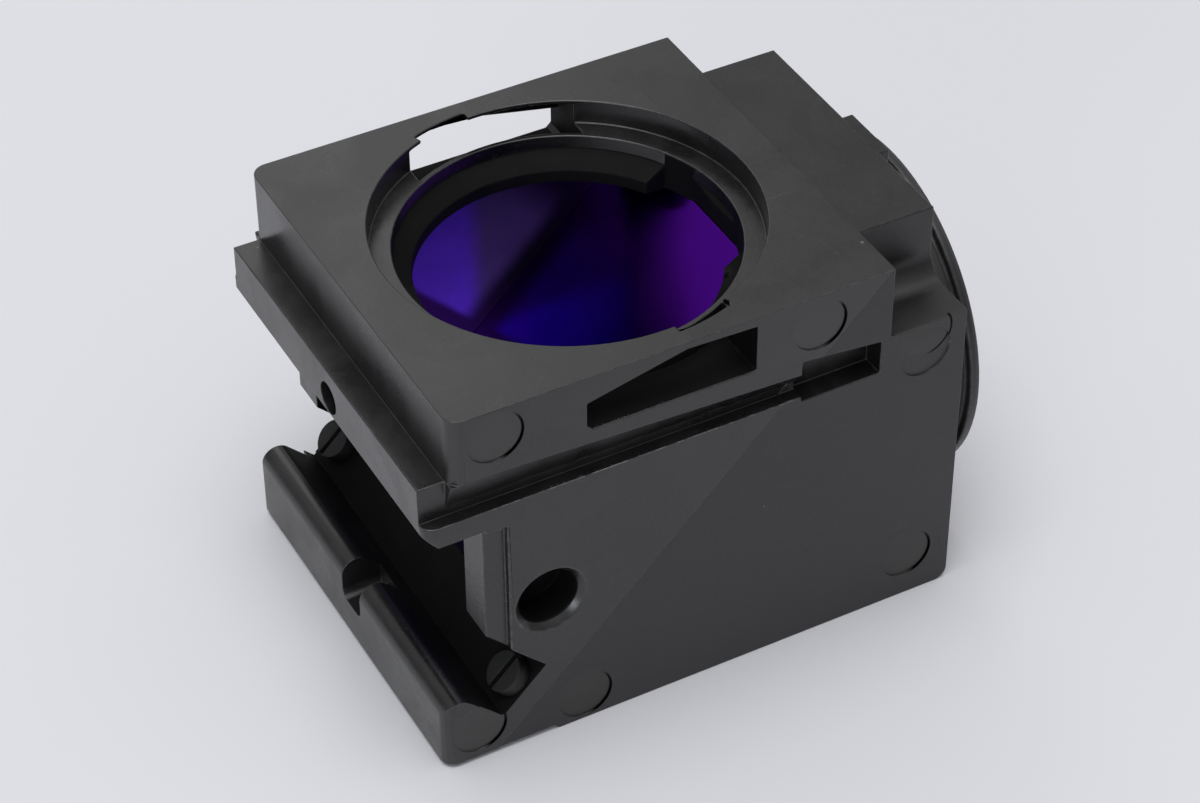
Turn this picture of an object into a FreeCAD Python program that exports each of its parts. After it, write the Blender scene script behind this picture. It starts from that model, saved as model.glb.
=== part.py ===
import FreeCAD
import Part

import math
import os

from FreeCAD import Vector

# Fluorescence filter cube: two moulded half shells that meet at a 45 degree seam,
# with the beam splitter between them and the excitation filter on the right.
# Millimetres. Z is the emission axis, with z = 0 on the surface the cube stands on.
# X points towards the excitation side, and the near side is at -Y.

# Overall block
DEPTH = 31.0
HALF_DEPTH = DEPTH / 2
PLATE_TOP = DEPTH - 0.2
PLATE_UNDERSIDE = PLATE_TOP - 5.4
PLATE_CORNER_RADIUS = 1.2

# Emission port in the plate: bore, two ledges, bayonet slots and their entries in the rim
EMISSION_RADIUS = HALF_DEPTH - 1.9
UPPER_LEDGE_Z = PLATE_TOP - 1.9
UPPER_LEDGE_RADIUS = EMISSION_RADIUS - 1.6
LEDGE_RIM = 0.4
LOWER_LEDGE_TOP = PLATE_TOP - 3.0
LOWER_LEDGE_Z = PLATE_TOP - 4.0
LOWER_LEDGE_RADIUS = EMISSION_RADIUS - 2.9
LEDGE_GAP_LEFT = 9.2
LEDGE_GAP_HALF_WIDTH = 5.5
SLOT_LEFT = -6.8
SLOT_RIGHT = 5.9
SLOT_PEAK_X = 0.4
SLOT_FLOOR = PLATE_TOP - 4.5
SLOT_CHAMFER = 0.4
SLOT_TOP_LEFT = PLATE_TOP - 2.2
SLOT_PEAK = PLATE_TOP - 0.6
SLOT_TOP_RIGHT = PLATE_TOP - 0.8
SLOT_INNER_Y = HALF_DEPTH - 7.0
SLOT_SKIN_Y = HALF_DEPTH - 1.2
SLOT_INNER_ROOF = PLATE_TOP - 0.3
ENTRY_RADIUS = EMISSION_RADIUS + 0.65
ENTRY_START = -87.0
ENTRY_SWEEP = 17.5

# Both optical axes cross on the seam plane, which meets the top at the plate's right edge
AXIS_HEIGHT = HALF_DEPTH - 1.2
PLATE_LEFT = -EMISSION_RADIUS - 3.1
PLATE_RIGHT = PLATE_TOP - AXIS_HEIGHT

# Side walls and the light paths inside
WALL_THICKNESS = 3.5
CAVITY_HALF_WIDTH = HALF_DEPTH - WALL_THICKNESS
WALL_LEFT = PLATE_LEFT + 2.3
CAVITY_ROOF = PLATE_TOP - 5.0
CAVITY_LEFT = WALL_LEFT + 1.9
EXCITATION_PATH_RADIUS = CAVITY_HALF_WIDTH - 0.1
OBJECTIVE_PATH_RADIUS = CAVITY_HALF_WIDTH - 0.5
OBJECTIVE_RADIUS = CAVITY_HALF_WIDTH - 1.0
OBJECTIVE_LIP = 1.2

# Rail flange along the left side
FLANGE_LEFT = PLATE_LEFT - 2.0
FLANGE_BOTTOM = PLATE_TOP - 10.0
FLANGE_CORNER_CUT = 0.9
FLANGE_PLAN_RADIUS = 1.0
DETENT_HOLE_RADIUS = 1.2
DETENT_HOLE_Y = -0.8
DETENT_HOLE_Z = FLANGE_BOTTOM + 2.2
DETENT_HOLE_DEPTH = 3.0

# Foot bar under the light dump opening
FOOT_LEFT = FLANGE_LEFT + 0.7
FOOT_SOLE = 0.3
FOOT_TOP_RADIUS = 1.2
FOOT_FAR_SETBACK = 0.8
FOOT_NOTCH_NEAR = -2.0
FOOT_NOTCH_FAR = 0.9
FOOT_NOTCH_FLOOR = 3.0
FOOT_NOTCH_RADIUS = 0.7

# Screw channels, square to the seam; positions are measured along the seam from the axis
SEAM_FOOT_ALONG = (FOOT_SOLE - AXIS_HEIGHT) * math.sqrt(2)
CHANNEL_LOW = SEAM_FOOT_ALONG + 2.4
CHANNEL_HIGH = CHANNEL_LOW + 4.7
CLAMP_THICKNESS = 1.8
SCREW_Y = HALF_DEPTH - 1.7
SCREW_RADIUS = 0.8
SCREW_HEAD_RADIUS = 1.5
SCREW_HEAD_HEIGHT = 1.1
SCREW_LENGTH = 4.5
SCREW_SLOT_WIDTH = 0.4
SCREW_SLOT_DEPTH = 0.5
SCREW_CLEARANCE = 0.15
THREAD_CLEARANCE = 0.02

# Locating pins across the seam near the top of the cube
PIN_RADIUS = 0.8
PIN_LENGTH = 4.0
PIN_ALONG = PLATE_RIGHT * math.sqrt(2) - 3.9
PIN_Y = HALF_DEPTH - 2.7
PIN_CLEARANCE = 0.02

# Rail groove along the near and far sides, with a deeper stop pocket at its right end
GROOVE_FLOOR = PLATE_TOP - 8.3
GROOVE_DEPTH = 1.0
GROOVE_BACK_HEIGHT = 0.7
GROOVE_ROOF_LEFT = GROOVE_FLOOR + 3.3
GROOVE_ROOF_RIGHT = GROOVE_FLOOR + 1.9
GROOVE_RIGHT = PLATE_RIGHT - 7.0
POCKET_RIGHT = PLATE_RIGHT - 0.8
POCKET_FLOOR = GROOVE_FLOOR - 0.4
POCKET_ROOF_LEFT = GROOVE_FLOOR + 3.0
POCKET_ROOF_RIGHT = GROOVE_FLOOR + 2.3
POCKET_DEPTH = 1.7

# Shallow strip beside the left end of the walls
REBATE_WIDTH = 1.6
REBATE_DEPTH = 0.5
REBATE_TOP = FLANGE_BOTTOM - 0.3

# Blind hole in the near wall
SIDE_HOLE_X = WALL_LEFT + 4.7
SIDE_HOLE_Z = AXIS_HEIGHT - 1.8
SIDE_HOLE_RADIUS = 2.2
SIDE_HOLE_CHAMFER = 0.5
SIDE_HOLE_DEPTH = 2.9

# Right block with its raised middle and the stop lug on top
BLOCK_RIGHT = PLATE_RIGHT + 6.1
BLOCK_TOP = PLATE_TOP - 0.2
SHOULDER_TOP = BLOCK_TOP - 5.6
SHOULDER_INNER_Y = HALF_DEPTH - 4.8
SHOULDER_FILLET = 2.0
BASE_STEP_X = PLATE_LEFT + 7.1
BASE_CORNER_RADIUS = 1.0
LUG_LENGTH = 1.0
LUG_NEAR = -3.4
LUG_FAR = 1.5
LUG_HEIGHT = 2.0
LUG_DROP = 0.3

# Beam splitter plate, its recess in the lower shell and its edge spring
SPLITTER_LENGTH = 2 * PLATE_RIGHT
SPLITTER_WIDTH = DEPTH - 5.8
SPLITTER_THICKNESS = 1.05
SPLITTER_CLEARANCE = 0.05
SPLITTER_SEAT = 1.0
SPRING_LENGTH = 18.0
SPRING_HEIGHT = 0.8
SPRING_THICKNESS = 0.15
SPRING_ROOM = 0.75
SPRING_END_GAP = 0.4

# Excitation filter and the ring that holds it
FILTER_RADIUS = AXIS_HEIGHT - 1.8
FILTER_LENGTH = 5.0
FILTER_LEFT = BLOCK_RIGHT - 7.2
FILTER_LIP = 1.0
FILTER_WALL = 0.6
FILTER_GLASS_THICKNESS = 3.2
FILTER_GLASS_CLEARANCE = 0.02
FILTER_BORE_CLEARANCE = 0.1
RETAINER_LIP_RADIUS = FILTER_RADIUS + 0.6
RETAINER_LIP_THICKNESS = 0.8
RETAINER_PROJECTION = 3.4
RETAINER_APERTURE_RADIUS = FILTER_RADIUS - 1.3
RETAINER_KEY_WIDTH = 1.6
RETAINER_KEY_DEPTH = 1.0
RETAINER_KEY_REACH = FILTER_RADIUS - 0.1

# Round ejector marks, x and z of each centre on the near side
EJECTOR_RADIUS = 2.05
EJECTOR_DEPTH = 0.12
UPPER_EJECTORS = ((PLATE_LEFT + 3.2, PLATE_TOP - 2.2), (FOOT_LEFT + 2.6, 2.9),
                  (PLATE_RIGHT - 5.8, PLATE_TOP - 2.5))
LOWER_EJECTORS = ((BASE_STEP_X + 2.4, 2.3), (BLOCK_RIGHT - 3.7, 3.9),
                  (BLOCK_RIGHT - 3.3, SHOULDER_TOP - 2.4))

SQUARE_ROOT_2 = math.sqrt(2)
BEYOND = 60.0
OVERCUT = 1.0


def seam_point(along, above, y=0.0):
    """Point given by its distance along the seam from the axis and its height above the seam."""
    x = (along - above) / SQUARE_ROOT_2
    z = AXIS_HEIGHT + (along + above) / SQUARE_ROOT_2
    return Vector(x, y, z)


SEAM_UP = Vector(-1, 0, 1) / SQUARE_ROOT_2


def seam_x(z):
    """X of the seam plane at a height."""
    return z - AXIS_HEIGHT


def box(x_low, x_high, y_low, y_high, z_low, z_high):
    """Block between two corners."""
    corner = Vector(x_low, y_low, z_low)
    return Part.makeBox(x_high - x_low, y_high - y_low, z_high - z_low, corner)


def cylinder(radius, length, start, direction):
    """Round bar from a start point."""
    return Part.makeCylinder(radius, length, start, direction)


def rounded_face(corners):
    """Face inside a polygon of (point, radius) corners, rounded where the radius is above zero."""
    ends = []
    for index, (point, radius) in enumerate(corners):
        if radius <= 0:
            ends.append((point, None, point))
            continue
        before = (corners[index - 1][0] - point).normalize()
        after = (corners[(index + 1) % len(corners)][0] - point).normalize()
        half_angle = before.getAngle(after) / 2
        reach = radius / math.tan(half_angle)
        middle_way = (before + after).normalize()
        centre = point + middle_way * (radius / math.sin(half_angle))
        ends.append((point + before * reach, centre - middle_way * radius, point + after * reach))
    edges = []
    for index, (start, middle, end) in enumerate(ends):
        if middle is not None:
            edges.append(Part.Arc(start, middle, end).toShape())
        following = ends[(index + 1) % len(ends)][0]
        if end.distanceToPoint(following) > 1e-6:
            edges.append(Part.LineSegment(end, following).toShape())
    return Part.Face(Part.Wire(edges))


def corner_radius(corner):
    """Radius given with a corner, or none."""
    return corner[2] if len(corner) > 2 else 0


def side_prism(corners, y_low, y_high):
    """Prism along Y over (x, z) or (x, z, radius) corners."""
    points = [(Vector(corner[0], y_low, corner[1]), corner_radius(corner)) for corner in corners]
    return rounded_face(points).extrude(Vector(0, y_high - y_low, 0))


def plan_prism(corners, z_low, z_high):
    """Prism along Z over (x, y) or (x, y, radius) corners."""
    points = [(Vector(corner[0], corner[1], z_low), corner_radius(corner)) for corner in corners]
    return rounded_face(points).extrude(Vector(0, 0, z_high - z_low))


def seam_block(along_low, along_high, above_low, above_high, y_low, y_high):
    """Block square to the seam."""
    corners = [seam_point(along_low, above_low), seam_point(along_high, above_low),
               seam_point(along_high, above_high), seam_point(along_low, above_high)]
    return side_prism([(corner.x, corner.z) for corner in corners], y_low, y_high)


def seam_cylinder(radius, along, above_low, above_high, y):
    """Round bar square to the seam."""
    return cylinder(radius, above_high - above_low, seam_point(along, above_low, y), SEAM_UP)


def turned(shape):
    """The shape turned half a turn about the emission axis."""
    copy = shape.copy()
    copy.rotate(Vector(0, 0, 0), Vector(0, 0, 1), 180)
    return copy


def far_copy(shape):
    """The shape mirrored to the far side."""
    return shape.mirror(Vector(0, 0, 0), Vector(0, 1, 0))


def cut_all(body, tools):
    """The body less every tool, as one solid."""
    result = body.cut(tools).removeSplitter()
    return result.Solids[0] if len(result.Solids) == 1 else result


def emission_bore():
    """Stepped bore from the top of the plate down into the cavity."""
    up = Vector(0, 0, 1)
    steps = ((EMISSION_RADIUS, UPPER_LEDGE_Z), (UPPER_LEDGE_RADIUS, LOWER_LEDGE_TOP),
             (LOWER_LEDGE_RADIUS, CAVITY_ROOF - OVERCUT))
    bars = [cylinder(radius, PLATE_TOP + OVERCUT - low, Vector(0, 0, low), up) for radius, low in steps]
    cone = Part.makeCone(LOWER_LEDGE_RADIUS, UPPER_LEDGE_RADIUS, LOWER_LEDGE_TOP - LOWER_LEDGE_Z,
                         Vector(0, 0, LOWER_LEDGE_Z), up)
    return bars[0].fuse(bars[1:] + [cone])


def within_ledge(rim=0.0):
    """Bar as wide as the upper ledge's opening and a rim, to keep a cut inside it or outside it."""
    return cylinder(UPPER_LEDGE_RADIUS + rim, PLATE_TOP, Vector(0, 0, 0), Vector(0, 0, 1))


def bayonet_slots():
    """Ramped slot through the near wall with its entry in the rim, and the same turned half round."""
    outline = [(SLOT_LEFT, SLOT_FLOOR + SLOT_CHAMFER), (SLOT_LEFT + SLOT_CHAMFER, SLOT_FLOOR),
               (SLOT_RIGHT, SLOT_FLOOR), (SLOT_RIGHT, SLOT_TOP_RIGHT), (SLOT_PEAK_X, SLOT_PEAK),
               (SLOT_LEFT, SLOT_TOP_LEFT)]
    window = side_prism(outline, -HALF_DEPTH - OVERCUT, -SLOT_INNER_Y)
    channel = box(SLOT_LEFT, SLOT_RIGHT, -SLOT_SKIN_Y, -SLOT_INNER_Y, SLOT_FLOOR + SLOT_CHAMFER,
                  SLOT_INNER_ROOF)
    slot = window.fuse(channel).removeSplitter().cut(within_ledge(LEDGE_RIM))
    entry = Part.makeCylinder(ENTRY_RADIUS, PLATE_TOP + OVERCUT - UPPER_LEDGE_Z, Vector(0, 0, UPPER_LEDGE_Z),
                              Vector(0, 0, 1), ENTRY_SWEEP)
    entry.rotate(Vector(0, 0, 0), Vector(0, 0, 1), ENTRY_START)
    return [slot, entry, turned(slot), turned(entry)]


def rail_grooves():
    """Tapered groove with its stop pocket on the near side and on the far side."""
    floor_y = -HALF_DEPTH + GROOVE_DEPTH
    outside_y = -HALF_DEPTH - OVERCUT
    rise = (GROOVE_ROOF_LEFT - GROOVE_FLOOR) * OVERCUT / GROOVE_DEPTH
    sections = []
    for x, roof in ((FLANGE_LEFT - OVERCUT, GROOVE_ROOF_LEFT), (GROOVE_RIGHT + OVERCUT, GROOVE_ROOF_RIGHT)):
        points = [Vector(x, outside_y, GROOVE_FLOOR), Vector(x, floor_y, GROOVE_FLOOR),
                  Vector(x, floor_y, GROOVE_FLOOR + GROOVE_BACK_HEIGHT), Vector(x, -HALF_DEPTH, roof),
                  Vector(x, outside_y, roof + rise)]
        sections.append(Part.makePolygon(points + points[:1]))
    groove = Part.makeLoft(sections, True, True)
    pocket = side_prism([(GROOVE_RIGHT, POCKET_FLOOR), (POCKET_RIGHT, POCKET_FLOOR),
                         (POCKET_RIGHT, POCKET_ROOF_RIGHT), (GROOVE_RIGHT, POCKET_ROOF_LEFT)],
                        outside_y, -HALF_DEPTH + POCKET_DEPTH)
    return [groove, pocket, far_copy(groove), far_copy(pocket)]


def ejector_marks(centres):
    """Shallow round marks in both side faces."""
    marks = []
    for x, z in centres:
        start = Vector(x, -HALF_DEPTH - OVERCUT, z)
        mark = cylinder(EJECTOR_RADIUS, OVERCUT + EJECTOR_DEPTH, start, Vector(0, 1, 0))
        marks.extend([mark, far_copy(mark)])
    return marks


def plan_outline(left, radius, z_low, z_high):
    """Full-depth block with rounded left corners, to trim a bar to its plan shape."""
    return plan_prism([(left, -HALF_DEPTH, radius), (BEYOND, -HALF_DEPTH), (BEYOND, HALF_DEPTH),
                       (left, HALF_DEPTH, radius)], z_low, z_high)


def upper_body():
    """Plate, flange, walls and foot bar of the upper shell as one profile across the depth."""
    seat_high = seam_point(CHANNEL_HIGH, CLAMP_THICKNESS)
    seat_low = seam_point(CHANNEL_LOW, CLAMP_THICKNESS)
    wall_foot_z = seat_high.z + (seat_high.x - WALL_LEFT)
    foot_tip_z = seat_low.z + (seat_low.x - FOOT_LEFT)
    profile = side_prism([
        (PLATE_RIGHT, PLATE_TOP), (PLATE_LEFT, PLATE_TOP), (PLATE_LEFT, PLATE_UNDERSIDE),
        (FLANGE_LEFT, PLATE_UNDERSIDE), (FLANGE_LEFT, FLANGE_BOTTOM + FLANGE_CORNER_CUT),
        (FLANGE_LEFT + FLANGE_CORNER_CUT, FLANGE_BOTTOM), (WALL_LEFT, FLANGE_BOTTOM),
        (WALL_LEFT, wall_foot_z), (seat_high.x, seat_high.z), (seat_low.x, seat_low.z),
        (FOOT_LEFT, foot_tip_z, FOOT_TOP_RADIUS), (FOOT_LEFT, FOOT_SOLE), (seam_x(FOOT_SOLE), FOOT_SOLE),
    ], -HALF_DEPTH, HALF_DEPTH)
    plate_plan = plan_outline(PLATE_LEFT, PLATE_CORNER_RADIUS, PLATE_UNDERSIDE, PLATE_TOP + OVERCUT)
    body_plan = plan_outline(FLANGE_LEFT, FLANGE_PLAN_RADIUS, FLANGE_BOTTOM, PLATE_UNDERSIDE)
    foot_plan = plan_outline(FOOT_LEFT, FLANGE_PLAN_RADIUS, -OVERCUT, FLANGE_BOTTOM)
    body = profile.common(plate_plan.fuse([body_plan, foot_plan]))
    rail_end = box(FLANGE_LEFT - OVERCUT, PLATE_LEFT, -HALF_DEPTH - OVERCUT, -HALF_DEPTH + GROOVE_DEPTH,
                   GROOVE_FLOOR, PLATE_UNDERSIDE + OVERCUT)
    foot_end = box(FOOT_LEFT - OVERCUT, WALL_LEFT, HALF_DEPTH - FOOT_FAR_SETBACK, HALF_DEPTH + OVERCUT,
                   -OVERCUT, FLANGE_BOTTOM / 2)
    return body.cut([rail_end, far_copy(rail_end), foot_end])


def upper_shell():
    """Upper half shell."""
    window_low = seam_point(CHANNEL_HIGH, -OVERCUT)
    window_out = seam_point(CHANNEL_HIGH, BEYOND / 4)
    cavity = side_prism([
        (window_low.x, window_low.z), (window_out.x, window_out.z), (window_out.x, FLANGE_BOTTOM),
        (CAVITY_LEFT, FLANGE_BOTTOM), (CAVITY_LEFT, CAVITY_ROOF), (seam_x(CAVITY_ROOF) + OVERCUT, CAVITY_ROOF),
    ], -CAVITY_HALF_WIDTH, CAVITY_HALF_WIDTH)
    splitter_end = seam_point(SPLITTER_LENGTH / 2, 0).x
    ledge_gap = box(LEDGE_GAP_LEFT, splitter_end, -LEDGE_GAP_HALF_WIDTH, LEDGE_GAP_HALF_WIDTH,
                    CAVITY_ROOF - OVERCUT, UPPER_LEDGE_Z)
    ledge_gap = ledge_gap.common(within_ledge())
    detent_hole = cylinder(DETENT_HOLE_RADIUS, OVERCUT + DETENT_HOLE_DEPTH,
                           Vector(FLANGE_LEFT - OVERCUT, DETENT_HOLE_Y, DETENT_HOLE_Z), Vector(1, 0, 0))
    notch_corners = []
    for y, radius in ((FOOT_NOTCH_NEAR, FOOT_NOTCH_RADIUS), (FOOT_NOTCH_FAR, FOOT_NOTCH_RADIUS)):
        notch_corners.append((Vector(FOOT_LEFT - OVERCUT, y, FOOT_NOTCH_FLOOR), radius))
    notch_corners.append((Vector(FOOT_LEFT - OVERCUT, FOOT_NOTCH_FAR, FLANGE_BOTTOM / 2), 0))
    notch_corners.append((Vector(FOOT_LEFT - OVERCUT, FOOT_NOTCH_NEAR, FLANGE_BOTTOM / 2), 0))
    foot_notch = rounded_face(notch_corners).extrude(Vector(seam_x(FOOT_SOLE) - FOOT_LEFT, 0, 0))
    channel_z = seam_point(CHANNEL_HIGH, CLAMP_THICKNESS).z
    rebate = box(WALL_LEFT - OVERCUT, WALL_LEFT + REBATE_WIDTH, -HALF_DEPTH - OVERCUT,
                 -HALF_DEPTH + REBATE_DEPTH, channel_z, REBATE_TOP)
    hole_start = Vector(SIDE_HOLE_X, -HALF_DEPTH, SIDE_HOLE_Z)
    side_hole = cylinder(SIDE_HOLE_RADIUS, SIDE_HOLE_DEPTH, hole_start, Vector(0, 1, 0))
    countersink = Part.makeCone(SIDE_HOLE_RADIUS + SIDE_HOLE_CHAMFER, SIDE_HOLE_RADIUS, SIDE_HOLE_CHAMFER,
                                hole_start, Vector(0, 1, 0))
    screw_holes = [seam_cylinder(SCREW_RADIUS + SCREW_CLEARANCE, channel_middle(), -OVERCUT,
                                 CLAMP_THICKNESS + OVERCUT, y) for y in (-SCREW_Y, SCREW_Y)]
    tools = [cavity, emission_bore(), ledge_gap, detent_hole, foot_notch, rebate, far_copy(rebate)]
    tools += [side_hole, countersink] + screw_holes + pin_holes()
    tools += bayonet_slots() + rail_grooves() + ejector_marks(UPPER_EJECTORS)
    return cut_all(upper_body(), tools)


def channel_middle():
    """Place of the clamp screws along the seam."""
    return (CHANNEL_LOW + CHANNEL_HIGH) / 2


def pin_holes():
    """Holes for the two locating pins, on both sides of the seam."""
    reach = PIN_LENGTH / 2 + PIN_CLEARANCE
    return [seam_cylinder(PIN_RADIUS + PIN_CLEARANCE, PIN_ALONG, -reach, reach, y) for y in (-PIN_Y, PIN_Y)]


def lower_body():
    """Outer block of the lower shell."""
    profile = side_prism([
        (seam_x(FOOT_SOLE), FOOT_SOLE), (BASE_STEP_X, FOOT_SOLE), (BASE_STEP_X + FOOT_SOLE, 0),
        (BLOCK_RIGHT, 0, BASE_CORNER_RADIUS), (BLOCK_RIGHT, BLOCK_TOP), (PLATE_RIGHT, BLOCK_TOP),
        (PLATE_RIGHT, PLATE_TOP),
    ], -HALF_DEPTH, HALF_DEPTH)
    lug = box(BLOCK_RIGHT - OVERCUT, BLOCK_RIGHT + LUG_LENGTH, LUG_NEAR, LUG_FAR,
              BLOCK_TOP - LUG_DROP - LUG_HEIGHT, BLOCK_TOP - LUG_DROP)
    shoulder = [
        (Vector(PLATE_RIGHT, -HALF_DEPTH - OVERCUT, SHOULDER_TOP), 0),
        (Vector(PLATE_RIGHT, -SHOULDER_INNER_Y, SHOULDER_TOP), SHOULDER_FILLET),
        (Vector(PLATE_RIGHT, -SHOULDER_INNER_Y, BLOCK_TOP + OVERCUT), 0),
        (Vector(PLATE_RIGHT, -HALF_DEPTH - OVERCUT, BLOCK_TOP + OVERCUT), 0),
    ]
    shoulder_cut = rounded_face(shoulder).extrude(Vector(BLOCK_RIGHT - PLATE_RIGHT + LUG_LENGTH, 0, 0))
    return profile.fuse(lug).cut([shoulder_cut, far_copy(shoulder_cut)])


def spring_pocket(extra=0.0):
    """Room for the edge spring beside the far edge of the beam splitter."""
    reach = SPRING_LENGTH / 2 + SPRING_END_GAP
    return seam_block(-reach, reach, -SPLITTER_THICKNESS, extra, 0, SPLITTER_WIDTH / 2 + SPRING_ROOM)


def lower_shell():
    """Lower half shell."""
    half_length = SPLITTER_LENGTH / 2 + SPLITTER_CLEARANCE
    half_width = SPLITTER_WIDTH / 2 + SPLITTER_CLEARANCE
    recess = seam_block(-half_length, half_length, -SPLITTER_THICKNESS, OVERCUT, -half_width, half_width)
    seat = SPLITTER_LENGTH / 2 - SPLITTER_SEAT
    above_low_seat = seam_block(-seat, BEYOND, -BEYOND, OVERCUT, -HALF_DEPTH, HALF_DEPTH)
    below_high_seat = seam_block(-BEYOND, seat, -BEYOND, OVERCUT, -HALF_DEPTH, HALF_DEPTH)
    up = Vector(0, 0, 1)
    objective_port = cylinder(OBJECTIVE_RADIUS, 2 * OBJECTIVE_LIP, Vector(0, 0, -OBJECTIVE_LIP), up)
    objective_path = cylinder(OBJECTIVE_PATH_RADIUS, PLATE_TOP, Vector(0, 0, OBJECTIVE_LIP), up)
    objective_path = objective_path.common(below_high_seat)
    excitation_path = cylinder(EXCITATION_PATH_RADIUS, BLOCK_RIGHT - PLATE_LEFT,
                               Vector(PLATE_LEFT, 0, AXIS_HEIGHT), Vector(1, 0, 0)).common(above_low_seat)
    filter_bore = cylinder(FILTER_RADIUS + FILTER_BORE_CLEARANCE, BLOCK_RIGHT - FILTER_LEFT + LUG_LENGTH,
                           Vector(FILTER_LEFT, 0, AXIS_HEIGHT), Vector(1, 0, 0))
    tip = SCREW_LENGTH - CLAMP_THICKNESS + THREAD_CLEARANCE
    screw_holes = [seam_cylinder(SCREW_RADIUS + THREAD_CLEARANCE, channel_middle(), -tip, OVERCUT, y)
                   for y in (-SCREW_Y, SCREW_Y)]
    tools = [recess, spring_pocket(OVERCUT), objective_port, objective_path, excitation_path, filter_bore,
             emission_bore()]
    tools += bayonet_slots() + rail_grooves() + ejector_marks(LOWER_EJECTORS) + screw_holes + pin_holes()
    return cut_all(lower_body(), tools)


def beam_splitter():
    """Coated glass plate flush with the seam plane."""
    half_length = SPLITTER_LENGTH / 2
    half_width = SPLITTER_WIDTH / 2
    return seam_block(-half_length, half_length, -SPLITTER_THICKNESS, 0, -half_width, half_width)


def splitter_edge_spring():
    """Bowed strip that presses the far edge of the beam splitter."""
    edge_y = SPLITTER_WIDTH / 2 + SPLITTER_CLEARANCE / 2
    wall_y = SPLITTER_WIDTH / 2 + SPRING_ROOM - SPLITTER_CLEARANCE / 2
    half = SPRING_LENGTH / 2
    depth = -(SPLITTER_THICKNESS + SPRING_HEIGHT) / 2
    inner = Part.Arc(seam_point(-half, depth, wall_y - SPRING_THICKNESS), seam_point(0, depth, edge_y),
                     seam_point(half, depth, wall_y - SPRING_THICKNESS)).toShape()
    outer = Part.Arc(seam_point(half, depth, wall_y), seam_point(0, depth, edge_y + SPRING_THICKNESS),
                     seam_point(-half, depth, wall_y)).toShape()
    ends = [Part.LineSegment(seam_point(side * half, depth, wall_y - SPRING_THICKNESS),
                             seam_point(side * half, depth, wall_y)).toShape() for side in (1, -1)]
    strip = Part.Face(Part.Wire([inner, ends[0], outer, ends[1]]))
    return strip.extrude(SEAM_UP * SPRING_HEIGHT)


def clamp_screw(y):
    """Slotted cheese-head screw that draws the shells together."""
    along = channel_middle()
    shank = seam_cylinder(SCREW_RADIUS, along, CLAMP_THICKNESS - SCREW_LENGTH, CLAMP_THICKNESS, y)
    top = CLAMP_THICKNESS + SCREW_HEAD_HEIGHT
    head = seam_cylinder(SCREW_HEAD_RADIUS, along, CLAMP_THICKNESS, top, y)
    slot = seam_block(along - SCREW_HEAD_RADIUS, along + SCREW_HEAD_RADIUS, top - SCREW_SLOT_DEPTH,
                      top + OVERCUT, y - SCREW_SLOT_WIDTH / 2, y + SCREW_SLOT_WIDTH / 2)
    return shank.fuse(head).cut(slot).removeSplitter().Solids[0]


def locating_pin(y):
    """Dowel across the seam."""
    return seam_cylinder(PIN_RADIUS, PIN_ALONG, -PIN_LENGTH / 2, PIN_LENGTH / 2, y)


def turned_ring(profile):
    """Ring turned about the excitation axis from (x, radius) corners."""
    points = [Vector(x, 0, AXIS_HEIGHT + radius) for x, radius in profile]
    face = Part.Face(Part.makePolygon(points + points[:1]))
    return face.revolve(Vector(0, 0, AXIS_HEIGHT), Vector(1, 0, 0), 360)


def excitation_filter_ring():
    """Metal ring of the excitation filter."""
    lip_radius = FILTER_RADIUS - FILTER_WALL - FILTER_LIP
    glass_left = FILTER_LEFT + FILTER_LIP
    inner = FILTER_RADIUS - FILTER_WALL
    right = FILTER_LEFT + FILTER_LENGTH
    return turned_ring([(FILTER_LEFT, lip_radius), (FILTER_LEFT, FILTER_RADIUS), (right, FILTER_RADIUS),
                        (right, inner), (glass_left, inner), (glass_left, lip_radius)])


def excitation_filter_glass():
    """Bonded glass disc of the excitation filter."""
    radius = FILTER_RADIUS - FILTER_WALL - FILTER_GLASS_CLEARANCE
    start = Vector(FILTER_LEFT + FILTER_LIP, 0, AXIS_HEIGHT)
    return cylinder(radius, FILTER_GLASS_THICKNESS, start, Vector(1, 0, 0))


def excitation_retaining_ring():
    """Flanged ring screwed in behind the excitation filter."""
    left = FILTER_LEFT + FILTER_LENGTH
    right = BLOCK_RIGHT + RETAINER_PROJECTION
    ring = turned_ring([(left, RETAINER_APERTURE_RADIUS), (left, FILTER_RADIUS),
                        (right - RETAINER_LIP_THICKNESS, FILTER_RADIUS),
                        (right - RETAINER_LIP_THICKNESS, RETAINER_LIP_RADIUS), (right, RETAINER_LIP_RADIUS),
                        (right, RETAINER_APERTURE_RADIUS)])
    key = box(right - RETAINER_KEY_DEPTH, right + OVERCUT, -RETAINER_KEY_REACH, RETAINER_KEY_REACH,
              AXIS_HEIGHT - RETAINER_KEY_WIDTH / 2, AXIS_HEIGHT + RETAINER_KEY_WIDTH / 2)
    return ring.cut(key).removeSplitter().Solids[0]


PIECES = {
    "upper_shell": upper_shell,
    "lower_shell": lower_shell,
    "beam_splitter": beam_splitter,
    "splitter_edge_spring": splitter_edge_spring,
    "clamp_screw_near": lambda: clamp_screw(-SCREW_Y),
    "clamp_screw_far": lambda: clamp_screw(SCREW_Y),
    "locating_pin_near": lambda: locating_pin(-PIN_Y),
    "locating_pin_far": lambda: locating_pin(PIN_Y),
    "excitation_filter_ring": excitation_filter_ring,
    "excitation_filter_glass": excitation_filter_glass,
    "excitation_retaining_ring": excitation_retaining_ring,
}

os.makedirs("parts", exist_ok=True)
for name, make in PIECES.items():
    shape = make()
    shape.exportStep(os.path.join("parts", name + ".step"))
    print(name, "solids", len(shape.Solids), "valid", shape.isValid(), "volume", round(shape.Volume, 1))
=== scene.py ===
"""Looks of the fluorescence filter cube: mouldings, optics, small parts, finishes, light and camera."""

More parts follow.
